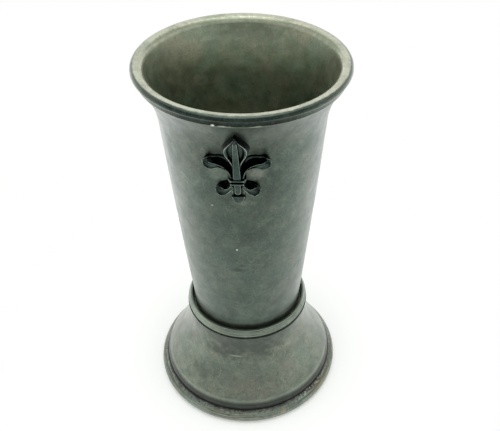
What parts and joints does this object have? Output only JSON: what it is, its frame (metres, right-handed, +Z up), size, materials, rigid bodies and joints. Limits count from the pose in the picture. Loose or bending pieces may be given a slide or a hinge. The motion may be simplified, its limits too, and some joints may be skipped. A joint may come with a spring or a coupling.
{
  "type": "beaker",
  "caption": "Footed metal drinking beaker with a tapered wall, flared moulded lip, collar ring, hollow bell foot and a cast fleur-de-lis on the front.",
  "frame": {"origin": "centre of the base ring's flat underside, on the surface that the beaker stands on", "axes": "+Z up along the beaker's axis, -Y towards the side with the fleur-de-lis"},
  "size_m": [0.078, 0.078, 0.15],
  "materials": {
    "pewter": "aged pewter with a mottled grey-green patina, turned and worn smooth",
    "worn_pewter": "pewter worn bright by handling, with fine turning lines",
    "cast_pewter": "cast pewter, black in its hollows and worn bright on its edges",
    "solder": "dull, uneven soft solder"
  },
  "bodies": {
    "root": {"beaker_wall": "pewter", "lip_bead": "worn_pewter", "cup_floor": "pewter", "floor_solder": "solder", "fleur_de_lis": "cast_pewter", "collar_ring": "pewter", "collar_solder": "solder", "foot_bell": "pewter", "foot_ring": "pewter", "foot_solder": "solder"}
  },
  "joints": []
}
